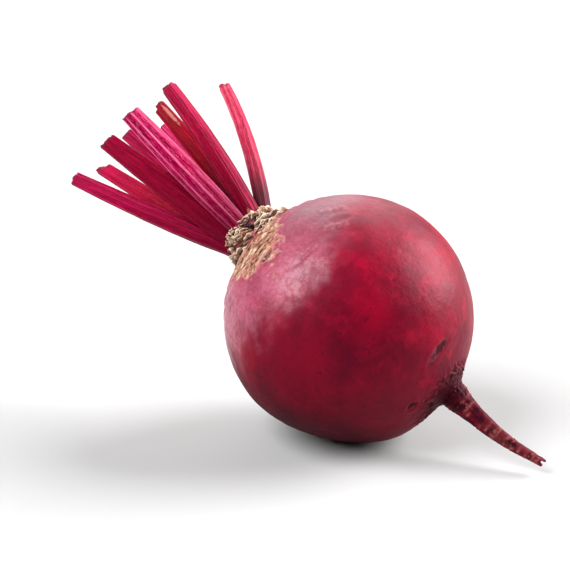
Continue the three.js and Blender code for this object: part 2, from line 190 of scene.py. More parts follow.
def cork_share(down, way, point):
    """1 on the corky crown and 0 on bare skin, with a frayed edge between them."""
    frayed = 8 * noise.noise(point / 5) + 5 * noise.noise(point / 1.7)
    return smoothstep(cork_reach(way) + frayed - down, -7, 8)


def shoulder_share(down, way, point):
    """1 on the dull, waxy shoulder beside the cork and 0 on the bright skin below it."""
    frayed = 8 * noise.noise(point / 8) + 4 * noise.noise(point / 3)
    reach = FILM_REACH + FILM_TONGUE * max(0, math.cos(math.radians(way - FILM_TONGUE_WAY))) ** 6
    return 1 - smoothstep(down + frayed, reach - 6, reach + 28)


def top_share(place):
    """1 on top of the root as it lies and 0 lower down, at a place in metres."""
    return smoothstep(place.z + 0.002 * noise.noise(place * 90), TOP_FROM, TOP_FULL)


BARK_RADIUS = 14
FLAKE_ROUND, FLAKE_TALL = 0.23, 0.54  # flakes to a millimetre, round the crown and down it
FLAKE_SIZES = ((1, 1), (2.4, 0.42))  # how many times finer, share
BEND_PLACES = (0, 31.7, 57.3)  # where the noise is read that bends the rows of flakes


def bark(angle, depth):
    """How far out the cork stands, and its tone, at an angle round the crown and a depth below its rim.

    A layer is an old leaf base: torn off, its upper edge free, lighter and raised over a gap, whose tone is
    darkened there as painted shade.
    """
    spot = Vector((BARK_RADIUS * math.cos(angle), BARK_RADIUS * math.sin(angle), 0))
    bend = spot * 0.3 + Vector((0, 0, depth * 0.42))
    wander = Vector([noise.noise(bend + Vector((apart, 0, 0))) for apart in BEND_PLACES])
    crumb = noise.noise(spot * 0.9 + Vector((7, 0, depth * 0.9)))
    crumb += 0.6 * noise.noise(spot * 2 + Vector((3, 0, depth * 2.2)))
    grit = noise.noise(spot * 4 + Vector((5, 0, depth * 4)))
    out, tone = 0.16 * crumb + 0.1 * grit, 0.2 * crumb - 0.33
    for size, share in FLAKE_SIZES:
        place = Vector((spot.x * FLAKE_ROUND, spot.y * FLAKE_ROUND, depth * FLAKE_TALL)) * size + wander * 0.7
        distances, middles = noise.voronoi(place)
        gap, edge = distances[1] - distances[0], middles[0].z - place.z
        own = noise.noise(middles[0] * 9.7)
        out += share * smoothstep(gap, 0.02, 0.34) * (0.5 + 0.8 * edge + 0.3 * own)
        # Darker at the gaps between layers: painted shade.
        tone += share * (0.62 * smoothstep(gap, 0.0, 0.3) + 0.55 * edge + 0.42 * own)
    return out, tone


def skin_relief(down, way, point):
    """How far the skin stands out of the round globe in millimetres, and how much of a scar or bump it is."""
    fade = math.sin(math.radians(down)) ** 4
    angle, tall = math.radians(way), math.cos(math.radians(down))
    lumps = [high * math.sin(count * angle + slant * tall + phase) for count, slant, phase, high in LUMPS]
    out = fade * sum(lumps)
    share = (down - RING_FROM) / (RING_TO - RING_FROM)
    rings = smoothstep(share, -0.1, 0.1) * (1 - smoothstep(share, 0.5, 1)) * (0.6 + 0.4 * math.sin(5 * angle))
    wander = RING_WANDER * math.sin(2 * angle)
    out += RING_HEIGHT * rings * math.sin(2 * math.pi * RING_COUNT * share + wander)
    here = facing(down, way)
    for swell_down, swell_way, height, spread in SWELLINGS:
        out += height * math.exp(-((math.degrees(here.angle(facing(swell_down, swell_way))) / spread) ** 2))
    scar = bump = 0
    wobble = 0.5 * noise.noise(point * 0.45) + 0.5 * noise.noise(point * 1.3)
    for mark_down, mark_way, long, slant, wide, deep, dark in MARKS:
        across = GLOBE_RADIUS * math.radians(down - mark_down)
        turn = math.radians(turn_from(way, mark_way))
        round_it = GLOBE_RADIUS * turn * math.sin(math.radians(mark_down))
        lean = math.radians(slant)
        length_share = (round_it * math.cos(lean) + across * math.sin(lean)) * 2 / long
        width_share = (across * math.cos(lean) - round_it * math.sin(lean)) * 2 / wide
        spot = width_share ** 2 + length_share ** 2 + wobble
        if spot < 9:
            raised_rim = 0.22 * math.exp(-((spot - 2.4) ** 2))
            hollow = math.exp(-0.9 * spot ** 1.3 if spot > 0 else 0)
            out += deep * (raised_rim - hollow)
            scar = max(scar, dark * math.exp(-0.8 * max(spot, 0) ** 2))
            bump = max(bump, (deep < 0) * math.exp(-0.6 * max(spot, 0) ** 2))
    out += sum(high * noise.noise(point / size) for size, high in UNEVENNESS)
    return out, scar, bump


def crease_height(point):
    """The fine wrinkles across the neck and the head of the taproot: 1 on a crest."""
    return 1 - abs(noise.noise(Vector((point.x * 0.55, point.y * 0.55, point.z * 1.7)))) * 3.4


LENTICEL_HALF = 0.34  # half the height of a cross scar
random.seed(31)
LENTICELS = [  # how far along the taproot, the angle round it, length
    (random.uniform(0.02, 0.97), random.uniform(0, 2 * math.pi), random.uniform(0.6, 2.6)) for _ in range(46)
]


def taproot_relief(along, angle, point):
    """How far the taproot's skin stands out in millimetres, and how pale its cross scars are there."""
    girth = taproot_radius(along)
    stretched = Vector((point.x, point.y, point.z * 0.25)) * 0.8
    out = 0.14 * math.sin(3 * angle + 5 * along) + 0.16 * noise.noise(stretched)
    out += 0.05 * noise.noise(point * 1.9)
    wrinkled = 1 - smoothstep(along, 0.06, 0.2)
    out += wrinkled * 0.3 * crease_height(point)
    pale = 0
    for at, turned_to, length in LENTICELS:
        down = (along - at) * TAPROOT_LENGTH
        if abs(down) < 1.6:
            turn = (angle - turned_to + math.pi) % (2 * math.pi) - math.pi
            down += 0.5 * noise.noise(point * 0.9)
            across, round_it = down / LENTICEL_HALF, (turn * girth / length) ** 2
            spot = across ** 2 + round_it
            groove = math.exp(-((across + 1.9) ** 2) - round_it)
            out += 0.12 * math.exp(-spot) - 0.14 * groove
            pale = max(pale, math.exp(-0.8 * spot))
    return out * (0.35 + 0.65 * smoothstep(girth, 0.9, 2.2)), pale


def mask_layers(body, *names):
    """New masks for a body's shader, by name."""
    return {name: body.verts.layers.float.new(name) for name in names}


def grown_root():
    """The root with its relief, laid down, and with the masks that its skin is coloured by."""
    body = turned(root_outline(), ROOT_SIDES)
    masks = mask_layers(
        body, "cork", "tone", "shoulder", "scar", "tap", "pale", "low", "dusty", "neck", "bump", "top"
    )
    rings = body.verts.layers.float_vector.new("rings")
    tip = TAPROOT_TOP - TAPROOT_LENGTH
    split_way = math.radians(SPLIT_WAY)
    for corner in body.verts:
        point = corner.co.copy()
        reach, angle, down, way = bearings(point)
        on_globe = smoothstep(point.z, TAPROOT_TOP, TAPROOT_TOP + 3)
        on_taproot = 1 - smoothstep(point.z, TAPROOT_TOP - 2, TAPROOT_TOP + 4)
        along = min(max((TAPROOT_TOP - point.z) / TAPROOT_LENGTH, 0), 1)
        relief, scar, bump = skin_relief(down, way, point) if on_globe else (0, 0, 0)
        cork = cork_share(down, way, point)
        tone = bark(angle, cork_depth(down))[1] if 0 < cork else 0
        relief -= 0.7 * smoothstep(cork, 0.4, 0.8)
        neck = smoothstep(down, 156, 168) * on_globe
        crease = crease_height(point)
        relief += neck * 0.36 * crease
        # Painted highlight on the crests of the neck's creases.
        corner[masks["pale"]] = 0.28 * neck * smoothstep(crease, 0.7, 0.98)
        shift = centre_shift(point.z)
        point.length += relief * on_globe
        if on_taproot:
            out, pale = taproot_relief(along, angle, point)
            edge = smoothstep(reach, 0, 1.2)
            point.x += math.cos(angle) * out * on_taproot * edge
            point.y += math.sin(angle) * out * on_taproot * edge
            corner[masks["pale"]] = max(corner[masks["pale"]], pale * on_taproot)
        if point.z < tip + 0.5:
            across = point.x * math.cos(split_way) + point.y * math.sin(split_way)
            split = SPLIT_DEPTH * math.exp(-((across / SPLIT_WIDTH) ** 2))
            point.z += split + 0.5 * noise.noise(point * 1.9) - 0.2
        corner[masks["cork"]], corner[masks["tone"]] = cork, tone
        corner[masks["shoulder"]] = shoulder_share(down, way, point)
        corner[masks["scar"]], corner[masks["bump"]] = scar, bump
        corner[masks["tap"]] = max(on_taproot, 0.85 * neck)
        corner[masks["dusty"]] = on_taproot * smoothstep(along, 0.3, 0.75)
        # Where the neck is darkened as painted shade.
        corner[masks["neck"]] = smoothstep(down, 162, 170) * (1 - smoothstep(along, 0.02, 0.14))
        # Painted shade, darkest on one side of the globe.
        shaded = math.degrees(facing(down, way).angle(facing(*SHADED_SIDE))) / SHADED_SPREAD
        corner[masks["low"]] = math.exp(-shaded ** 2) * SHADED_MOST
        corner[rings] = ring_place(corner.co, down)
        corner.co = point + Vector((shift.x, shift.y, 0))
    bmesh.ops.transform(body, matrix=LAID_DOWN, verts=body.verts)
    # Painted shade on the underside, eased off towards the taproot.
    for corner in body.verts:
        shade_eased = SHADE_EASE_MOST * smoothstep(corner.co.x, SHADE_EASE_FROM, SHADE_EASE_FULL)
        under = smoothstep(-corner.co.z, -UNDER_FROM, -UNDER_FULL) * (1 - shade_eased)
        corner[masks["low"]] = max(corner[masks["low"]], under)
        corner[masks["top"]] = top_share(corner.co)
        corner.co.z = max(corner.co.z, 0)
    return body


class Wire:
    """A socket of a material's shader. Sums, differences and products of wires add their own Math nodes."""

    def __init__(self, tree, socket=None):
        self.tree, self.socket = tree, socket

    def node(self, kind, settings=None, inputs=None, output=0):
        """Adds a node: first its settings, a ramp's stops among them, then its sockets' values or wires."""
        added = self.tree.nodes.new(kind)
        for name, value in (settings or {}).items():
            if name == "stops":
                while len(added.color_ramp.elements) < len(value):
                    added.color_ramp.elements.new(1)
                for element, (position, colour) in zip(added.color_ramp.elements, value):
                    element.position, element.color = position, colour
            else:
                setattr(added, name, value)
        for name, value in (inputs or {}).items():
            if isinstance(value, Wire):
                self.tree.links.new(value.socket, added.inputs[name])
            else:
                added.inputs[name].default_value = value
        return Wire(self.tree, added.outputs[output] if len(added.outputs) else None)

    def math(self, operation, first, second):
        return self.node("ShaderNodeMath", {"operation": operation}, {0: first, 1: second})

    def __add__(self, other):
        return self.math("ADD", self, other)

    __radd__ = __add__

    def __sub__(self, other):
        return self.math("SUBTRACT", self, other)

    def __rsub__(self, other):
        return self.math("SUBTRACT", other, self)

    def __mul__(self, other):
        return self.math("MULTIPLY", self, other)

    __rmul__ = __mul__

    def between(self, low, high):
        """0 where the wire is low, 1 where it is high, and smooth between."""
        settings = {"interpolation_type": "SMOOTHSTEP"}
        return self.node("ShaderNodeMapRange", settings, {"Value": self, "From Min": low, "From Max": high})

    def blend(self, off, on):
        """The colour off where the wire is 0 and on where it is 1."""
        factor, first, second, mixed = 0, 6, 7, 2  # the sockets that a Mix node has for colours
        inputs = {factor: self, first: off, second: on}
        return self.node("ShaderNodeMix", {"data_type": "RGBA"}, inputs, mixed)

    def noise(self, place, scale, detail=3, roughness=0.55):
        inputs = {"Vector": place, "Scale": scale, "Detail": detail, "Roughness": roughness}
        return self.node("ShaderNodeTexNoise", {}, inputs, "Fac")

    def mask(self, name, output="Fac"):
        """A mask that the piece's mesh carries."""
        return self.node("ShaderNodeAttribute", {"attribute_name": name}, {}, output)

    def on_piece(self):
        """The place on the piece, in metres."""
        return self.node("ShaderNodeTexCoord", {}, {}, "Object")

    def relief(self, strength, distance):
        """The fine relief of a surface that stands as high as the wire says."""
        return self.node("ShaderNodeBump", {}, {"Strength": strength, "Distance": distance, "Height": self})

    def surface(self, kind, inputs):
        """Closes the shader with a surface of a kind."""
        self.node("ShaderNodeOutputMaterial", {}, {"Surface": self.node(kind, {}, inputs)})


def srgb(red, green, blue):
    """A colour for a socket from its screen values, 0 to 255."""
    shares = [value / 255 for value in (red, green, blue)]
    return (*[v / 12.92 if v <= 0.04045 else ((v + 0.055) / 1.055) ** 2.4 for v in shares], 1)


def new_finish(name):
    """A new material with an empty shader, and a first wire to build it from."""
    material = bpy.data.materials.new(name)
    material.use_nodes = True
    material.node_tree.nodes.clear()
    return material, Wire(material.node_tree)


CORK_TONES = (  # the darkest tone for painted shade in the gaps, brown and tan layers, cream edges
    (0.04, srgb(42, 10, 14)),
    (0.20, srgb(90, 40, 36)),
    (0.38, srgb(138, 92, 76)),
    (0.56, srgb(172, 137, 113)),
    (0.74, srgb(202, 176, 150)),
    (0.92, srgb(224, 206, 184)),
)


def cork_colour(wire, place, tone):
    """Cork and dried leaf bases, coloured by their tone, with some pink flesh and ochre; and their shade."""
    grain = wire.noise(place, 1100, 5, 0.72)
    shade = tone + 0.62 * (grain - 0.5) + 0.34 * (wire.noise(place, 260, 3) - 0.5)
    colour = wire.node("ShaderNodeValToRGB", {"stops": CORK_TONES}, {"Fac": shade}, "Color")
    pink = wire.noise(place, 190, 4).between(0.54, 0.66) * 0.6
    colour = pink.blend(colour, srgb(176, 84, 86))
    ochre = wire.noise(place, 240, 2).between(0.58, 0.7) * 0.4
    return ochre.blend(colour, srgb(172, 116, 62)), shade


def skin_material(name):
    """Thin crimson skin: mottled, pink and dull at the shoulder, cork at the crown, brown at the taproot."""
    material, wire = new_finish(name)
    place = wire.on_piece()
    rings = wire.mask("rings", "Vector")
    cork, scar, tap = wire.mask("cork"), wire.mask("scar"), wire.mask("tap")
    pale, low = wire.mask("pale"), wire.mask("low")

    # Flesh colour: broad mottling, bright flecks, dark specks, streaks along the rings, and painted shade
    # underneath and on one side.
    broad = wire.noise(place, 42, 4, 0.6)
    fine = wire.noise(place, 260, 4, 0.6)
    colour = broad.between(0.32, 0.68).blend(srgb(92, 2, 26), srgb(138, 2, 34))
    flecks = wire.noise(place, 150, 5, 0.66).between(0.5, 0.72)
    colour = (flecks * 0.42).blend(colour, srgb(176, 6, 46))
    specks = wire.noise(place, 330, 4, 0.7).between(0.56, 0.72)
    colour = (specks * 0.55).blend(colour, srgb(62, 2, 20))
    streak = wire.noise(rings, 0.9, 5, 0.6).between(0.5, 0.7) * 0.3
    colour = streak.blend(colour, srgb(84, 2, 26))
    # Painted shade: darker underneath and on one side of the globe.
    colour = (low * 0.84).blend(colour, srgb(36, 0, 11))

    # The waxy film of the shoulder with its pores, its paler colour partly painted sheen; dust and painted
    # shade on top; painted highlights on the bumps' tips; and the cork.
    cork_tone, layer = cork_colour(wire, place, wire.mask("tone"))
    ragged = wire.noise(place, 260, 6, 0.72) - 0.5
    spread = wire.mask("shoulder")
    shoulder = (spread + 0.5 * ragged).between(-0.14, 1.1) * spread.between(0, 0.16)
    film = wire.noise(place, 620, 3, 0.7).between(0.36, 0.64)
    # The waxy film's paler pink: partly the skin's own, partly painted sheen.
    film_and_sheen = shoulder * (0.42 + 0.36 * wire.noise(place, 110, 5, 0.65).between(0.38, 0.62) + 0.22 * film)
    colour = (film_and_sheen * 0.7).blend(colour, srgb(182, 90, 117))
    pores = wire.noise(place, 900, 2, 0.6).between(0.56, 0.7)
    colour = (pores * shoulder * 0.4).blend(colour, srgb(116, 34, 56))
    # Dust and painted shade: darker, greyer skin on top of the root.
    top = wire.mask("top")
    dust_and_shade_top = top * (0.38 + 0.5 * shoulder) * (0.7 + 0.3 * wire.noise(place, 130, 4).between(0.35, 0.65))
    colour = dust_and_shade_top.blend(colour, top.between(0.6, 1).blend(srgb(124, 72, 84), srgb(122, 92, 98)))
    # Painted highlight: the bumps' tips paler.
    colour = (wire.mask("bump") * 0.2 * film).blend(colour, srgb(206, 140, 148))
    fringe = cork.between(0.3, 1).blend(srgb(184, 122, 118), cork_tone)
    flaking = (cork + 1.2 * (wire.noise(place, 560, 6, 0.78) - 0.5)).between(0.3, 0.74)
    colour = flaking.blend(colour, fringe)

    # The taproot's rough bark, painted shade in the neck, worn brown patches, pale cross scars, painted
    # highlight on the neck's crease crests, crusts and a bit of husk.
    rough_bark = wire.noise(place, 420, 4, 0.65)
    tap_colour = rough_bark.between(0.38, 0.62).blend(srgb(42, 2, 12), srgb(96, 8, 28))
    colour = tap.blend(colour, tap_colour)
    # Painted shade in the neck.
    colour = (wire.mask("neck") * 0.75).blend(colour, srgb(38, 2, 12))
    worn = wire.mask("dusty") * wire.noise(place, 230, 4, 0.65).between(0.42, 0.62)
    colour = (worn * 0.62).blend(colour, srgb(106, 54, 52))
    # Pale cross scars, and painted highlight on the neck's crease crests.
    colour = (pale * rough_bark.between(0.38, 0.56) * 0.7).blend(colour, srgb(166, 94, 88))
    crust = (rough_bark - 0.22 * (scar - 0.5)).between(0.36, 0.6)
    colour = (scar.between(0.05, 0.7) * 0.85).blend(colour, crust.blend(srgb(40, 6, 18), srgb(112, 52, 62)))
    husk = scar.between(0.2, 0.6) * cork.between(0.15, 0.5) * wire.noise(place, 1500, 2).between(0.54, 0.62)
    colour = (husk * 0.62).blend(colour, srgb(198, 174, 172))

    leathery = wire.noise(place, 760, 3, 0.6)
    grain = fine * 0.5 + leathery * (0.45 + 0.7 * shoulder) + layer * cork * 1.6
    grain = grain + rough_bark * (tap + scar) * 0.9
    wire.surface("ShaderNodeBsdfPrincipled", {
        "Base Color": colour,
        "Roughness": 0.40 + 0.12 * fine + 0.3 * cork + 0.14 * tap + 0.2 * scar + 0.26 * low,
        "Normal": grain.relief(0.45, 0.0005),
        "IOR": 1.45,
        "Specular IOR Level": 0.2,
        "Specular Tint": (1, 0.36, 0.52, 1),
        "Coat Weight": shoulder.between(0, 0.7) * (1 - flaking) * (1 - 0.8 * top) * (0.36 + 0.5 * film),
        "Coat Roughness": 0.38,
    })
    return material


def mesh_of(body, name, material):
    """A mesh made from a finished body, in its material."""
    mesh = bpy.data.meshes.new(name)
    body.to_mesh(mesh)
    body.free()
    mesh.materials.append(material)
    return mesh


def placed(name, data):
    """A new object in the scene."""
    item = bpy.data.objects.new(name, data)
    bpy.context.scene.collection.objects.link(item)
    return item


def kept(body, name, material, node):
    """Makes a finished body a piece in the frame: smooth, with its material, in place of its CAD node."""
    piece = placed(name, mesh_of(body, name, material))
    piece.data.shade_smooth()
    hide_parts(node)
    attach(piece, "root")


kept(grown_root(), "root_skin", skin_material("crimson_skin"), "root")

# ---- Crown -----------------------------------------------------------------------------------------------
# The corky crown: a collar with a raised rim round the stalks' feet, turned upright and sunk into the root's
# shoulder. Its side is a stack of dried leaf scars, so it is rough, and its rim leans over.

CROWN_RIM_RADIUS = 10.3
CROWN_BASE_RADIUS = 14.2
CROWN_FLOOR = 6.0
CROWN_LEAN, CROWN_LEAN_WAY = 8, 30.8  # how far its rim leans, and the way that it leans to, in degrees
CROWN_FOOT = math.sqrt(GLOBE_RADIUS ** 2 - CROWN_BASE_RADIUS ** 2)
COLLAR_BOWL = ((0, CROWN_FLOOR), (CROWN_RIM_RADIUS - 2.6, CROWN_FLOOR), (CROWN_RIM_RADIUS - 1.6, 8.6))
# The collar's side: how far outside its rim, and at what share of its height.
COLLAR_SIDE = ((-0.4, 1), (0.2, 0.89), (0.5, 0.66), (1.3, 0.4), (2.2, 0.18))
COLLAR_SKIRT = ((CROWN_BASE_RADIUS, 0), (15.8, -0.9), (16.6, -2.4), (14, -4), (0, -4))  # sunk in the shoulder
COLLAR_STEP, COLLAR_SIDES = 0.26, 300
CAP_FROM, CAP_SPREAD = 12, 50  # where the cap of cork starts, down from the crown, and how far it spreads
CAP_CORE, CAP_WALL = 20, 1  # the cap's radius underneath and its thickness, out of sight in the root
CAP_STEPS, CAP_SIDES = 130, 420


def lean_rim(point):
    """The crown's heights grow away from the side that its rim leans to."""
    way = math.radians(CROWN_LEAN_WAY)
    across = point.x * math.cos(way) + point.y * math.sin(way)
    up = point.z - CROWN_FOOT
    point.z = CROWN_FOOT + up * (1 - across * math.tan(math.radians(CROWN_LEAN)) / CROWN_HEIGHT)
    return point


def stepped(corners, length):
    """An outline through the corners, in steps of a length."""
    outline = []
    for (near, high), (far, low) in zip(corners, corners[1:]):
        steps = max(2, round(math.hypot(far - near, high - low) / length))
        outline += [(lerp(near, far, step / steps), lerp(high, low, step / steps)) for step in range(steps)]
    return outline + [corners[-1]]


def grown_collar():
    """The collar with its layers of cork, its hollows and its ragged rim, laid down."""
    side = [(CROWN_RIM_RADIUS + out, CROWN_HEIGHT * up) for out, up in COLLAR_SIDE]
    corners = [*COLLAR_BOWL, *side, *COLLAR_SKIRT]
    body = turned([(radius, CROWN_FOOT + up) for radius, up in stepped(corners, COLLAR_STEP)], COLLAR_SIDES)
    body.normal_update()
    masks = mask_layers(body, "tone")
    for corner in body.verts:
        point = corner.co.copy()
        up = point.z - CROWN_FOOT
        reach, angle, _, _ = bearings(point)
        around = Vector((math.cos(angle), math.sin(angle), 0))
        out, shade = bark(angle, CROWN_HEIGHT - up)
        outside = smoothstep(reach, CROWN_RIM_RADIUS - 2, CROWN_RIM_RADIUS - 0.4) * smoothstep(up, -2.2, -0.4)
        hollow = smoothstep(noise.noise(around * 3.4 + Vector((2, 9, up * 0.3))), 0.12, 0.42)
        hollow *= outside * smoothstep(up, 2.5, 4.5) * (1 - smoothstep(up, 7.2, 8.6))
        rim = smoothstep(up, 6.5, 8.8) * smoothstep(reach, CROWN_RIM_RADIUS - 2.6, CROWN_RIM_RADIUS - 1.2)
        inside = 1 - smoothstep(reach, CROWN_RIM_RADIUS - 1.7, CROWN_RIM_RADIUS - 0.9)
        # Painted shade darkens the hollows and the inside of the collar.
        corner[masks["tone"]] = shade - 0.6 * hollow - 0.5 * inside - 0.12 + 0.2 * rim
        point += corner.normal * (outside * (1.1 * out - 0.7 - 1.5 * hollow) + 0.1 * noise.noise(point))
        point.z += rim * (1.1 * noise.noise(around * 3.1) + 0.8 * noise.noise(around * 8) - 0.3)
        corner.co = lean_rim(point)
    bmesh.ops.transform(body, matrix=LAID_DOWN, verts=body.verts)
    return body


def grown_shoulder_cork():
    """The cap of cork that spreads from the collar's foot over the shoulder and thins out to nothing."""
    downs = [math.radians(CAP_FROM + CAP_SPREAD * step / CAP_STEPS) for step in range(CAP_STEPS + 1)]
    outline = [(GLOBE_RADIUS * math.sin(down), GLOBE_RADIUS * math.cos(down)) for down in downs]
    high, low = outline[0][1] - CAP_WALL, outline[-1][1] - CAP_WALL
    body = turned([(0, high), *outline, (CAP_CORE, low), (0, low)], CAP_SIDES)
    masks = mask_layers(body, "cork", "tone", "shoulder", "scar", "top")
    rings = body.verts.layers.float_vector.new("rings")
    for corner in body.verts:
        point = corner.co.copy()
        _, angle, down, way = bearings(point)
        corner[rings] = ring_place(point, down)
        shift = centre_shift(point.z)
        if point.length > GLOBE_RADIUS - 0.5:
            relief, scar, _ = skin_relief(down, way, point)
            cork = cork_share(down, way, point)
            out, shade = bark(angle, cork_depth(down))
            thick = smoothstep(cork_reach(way) - down, 0, 22)
            point.length += relief + lerp(-0.55, 0.02, smoothstep(cork, 0.1, 0.5))
            point.length += cork * lerp(0.05, 0.3, thick) * (out - 0.5)
            shade = lerp(0.62, shade, lerp(0.25, 0.55, thick)) + 0.26 * noise.noise(point * 1.1)
            corner[masks["cork"]], corner[masks["tone"]], corner[masks["scar"]] = cork, shade, scar
            corner[masks["shoulder"]] = shoulder_share(down, way, point)
        corner.co = point + Vector((shift.x, shift.y, 0))
    bmesh.ops.transform(body, matrix=LAID_DOWN, verts=body.verts)
    for corner in body.verts:
        corner[masks["top"]] = top_share(corner.co)
    return body


def cork_material():
    """Dry cork and papery leaf bases."""
    material, wire = new_finish("crown_cork")
    place = wire.on_piece()
    colour, layer = cork_colour(wire, place, wire.mask("tone"))
    fibre = wire.noise(place, 900, 3)
    wire.surface("ShaderNodeBsdfPrincipled", {
        "Base Color": colour,
        "Roughness": 0.72 + 0.2 * fibre,
        "Normal": (layer + fibre * 0.4).relief(0.5, 0.0005),
    })
    return material


cork = cork_material()
kept(grown_collar(), "crown_collar", cork, "crown")
kept(grown_shoulder_cork(), "crown_shoulder", skin_material("shoulder_cork"), "crown")

# ---- Leaf bases ------------------------------------------------------------------------------------------
# What old leaves left on the crown: whorls of thin dried plates with torn edges, rooted in the cork and
# overlapping like shingles. Each is a small bent sheet with a thin wall; the lower ones have curled down.

LEAF_BASE_WALL = 0.22
LEAF_BASE_GRID = 16, 7  # segments across and up
LEAF_BASE_SUNK = 0.6  # how deep a base is rooted
# Height over the collar's foot, radius, how many bases, how far they lean out in degrees, how tall they are.
WHORLS = (
    (-0.4, 15.2, 6, 76, 2.4),
    (1.4, 12.9, 6, 60, 2.8),
    (3.6, 11.3, 6, 44, 3.2),
    (5.8, 10.7, 6, 28, 3.2),
    (7.4, 10.2, 7, 10, 2.6),
)
WHORL_ROWS = ((0, 0, 1.0), (0.9, -0.3, 0.75))  # the row's lift and further radius, share of the height


def leaf_base(body, masks, way, whorl, wide, tall, shade):
    """Adds one dried leaf base to the body, at a way round the crown."""
    up, radius, lean = whorl
    columns, rows = LEAF_BASE_GRID
    grid = bmesh.ops.create_grid(body, x_segments=columns, y_segments=rows, size=1)["verts"]
    faces = list({face for corner in grid for face in corner.link_faces})
    seed = Vector((random.uniform(0, 90), 0, 0))
    lean = math.radians(lean)
    for corner in grid:
        across, share = corner.co.x, (corner.co.y + 1) / 2
        torn = 0.8 + 0.45 * noise.noise(seed + Vector((across * 1.6, 0, 0)))
        torn += 0.22 * noise.noise(seed + Vector((across * 5, 3, 0))) - 0.4 * across ** 2
        rise = (share * 1.5 - 0.5) * tall * (torn if share > 0.34 else 1)
        bend = lean + 0.9 * share ** 2 * noise.noise(seed + Vector((across * 1.3, 8, 0)))
        out = math.sin(bend) * rise + 0.3 * noise.noise(seed + Vector((across * 1.5, share, 5)))
        sway = 0.05 * noise.noise(seed + Vector((0, share * 3, 2)))
        turn = way + across * wide / 2 / radius * (1 - 0.25 * share) + sway
        place = radius - LEAF_BASE_SUNK + out
        corner.co = (place * math.cos(turn), place * math.sin(turn), CROWN_FOOT + up + math.cos(bend) * rise)
        lean_rim(corner.co)
        mottle = 0.3 * noise.noise(seed + Vector((across * 4, share * 2, 9)))
        # Darker towards the foot as painted shade under the base above; paler towards the torn edge.
        corner[masks["tone"]] = shade + 0.8 * (share - 0.62) + mottle
    bmesh.ops.solidify(body, geom=faces, thickness=LEAF_BASE_WALL)


def dried_leaf_bases():
    """All the leaf bases in one body: each whorl's larger ones first, then thin papery ones between them."""
    body = bmesh.new()
    masks = mask_layers(body, "tone")
    random.seed(77)
    for up, radius, count, lean, tall in WHORLS:
        for lift, grow, share in WHORL_ROWS:
            start = random.uniform(0, 2 * math.pi)
            for step in range(count):
                way = start + 2 * math.pi * (step + random.uniform(-0.3, 0.3)) / count
                whorl = up + lift + random.uniform(-0.5, 0.5), radius + grow, lean + random.uniform(-18, 18)
                wide, high = random.uniform(4.0, 9.5), tall * share * random.uniform(0.6, 1.2)
                leaf_base(body, masks, way, whorl, wide, high, random.uniform(0.35, 0.8))
    bmesh.ops.recalc_face_normals(body, faces=body.faces)
    bmesh.ops.transform(body, matrix=LAID_DOWN, verts=body.verts)
    return body


kept(dried_leaf_bases(), "crown_leaf_bases", cork, "crown")

# ---- Leaf stalks -----------------------------------------------------------------------------------------
# Nine cut leaf stalks, fleshy and ribbed, with the channel of the leaf's inner side. Each is drawn out along
# its own bent line from its widened foot in the crown to its knife-cut end, and then ribbed.

STALK_SIDES, STALK_STEPS, CUT_STEPS = 108, 80, 8
STALK_FOOT_SIZE = 0.92
STALK_GAP = 0.3  # between a foot and the collar's floor
STALK_SUNK = 1.6  # how far a foot is drawn on below its seat
RIBS, FINE_RIBS = 9, 25
RIB_HEIGHT = 0.075  # share of a stalk's radius
CHANNEL_DEPTH, CHANNEL_WIDTH = 0.24, 0.24  # shares of a stalk's thickness and width
# A foot's distance from the axis and its way round, how far the stalk leans and the way that it leans to, its
# length, bow, width and thickness, how it tapers, its swell halfway, and its cut's slants across and through.
STALKS = {
    "stalk_front_wide": (6.6, 291, 15.0, 329, 54.5, -0.3, 7.0, 5.2, 0.93, 0.2, 3, 0),
    "stalk_tall": (4.7, 343, 18.8, 15, 55.1, 1.2, 7.2, 6.8, 0.77, 0.08, 12, 8),
    "stalk_front_low": (6.9, 222, 15.1, 219, 62.9, 0.6, 6.8, 7.2, 0.68, 0.1, 8, 4),
    "stalk_dark_wide": (6.2, 252, 8.3, 288, 56.8, 0.4, 8.3, 5.0, 0.7, 0.12, 11, 0),
    "stalk_lone": (5.8, 54, 32.6, 41, 52.2, 2.3, 5.8, 6.3, 0.7, 0.04, 5, -8),
    "stalk_two_lobed": (6.6, 176, 14.3, 156, 66, 1.2, 6.4, 5.4, 0.82, 0.08, -28, 0),
    "stalk_back": (6.2, 121, 17.1, 91, 61.3, 0.6, 5.2, 4.4, 0.85, 0, -8, 5),
    "stalk_bruised": (2.9, 50, 12.2, 57, 59, 0.6, 6.6, 6.2, 0.72, 0.08, 6, 7),
    "stalk_middle": (2.2, 200, 5.8, 104, 60.9, 0.4, 5.8, 4.8, 0.76, 0.2, -10, 0),
}
# Deep colour, bright colour, pale colour for the ribs' crests, partly painted highlight, and for the bands of
# painted highlight, how strong the pale ribs are, how pale the outer end is.
STALK_COLOURS = {
    "stalk_front_wide": ((128, 0, 46), (190, 4, 82), (238, 114, 158), 0.8, 0.0),
    "stalk_tall": ((116, 0, 28), (160, 0, 47), (216, 56, 106), 0.32, 0.14),
    "stalk_front_low": ((126, 0, 38), (170, 0, 60), (216, 40, 108), 0.3, 0.2),
    "stalk_dark_wide": ((106, 0, 26), (148, 0, 42), (180, 18, 72), 0.28, 0.1),
    "stalk_lone": ((182, 32, 66), (218, 70, 102), (240, 138, 158), 0.55, 0.06),
    "stalk_two_lobed": ((114, 0, 14), (154, 0, 34), (210, 8, 88), 0.25, 0.5),
    "stalk_back": ((132, 0, 48), (180, 6, 76), (232, 84, 140), 0.5, 0.2),
    "stalk_bruised": ((106, 0, 12), (154, 0, 26), (198, 24, 50), 0.2, 0.2),
    "stalk_middle": ((118, 0, 36), (164, 2, 60), (210, 44, 106), 0.3, 0.1),
}
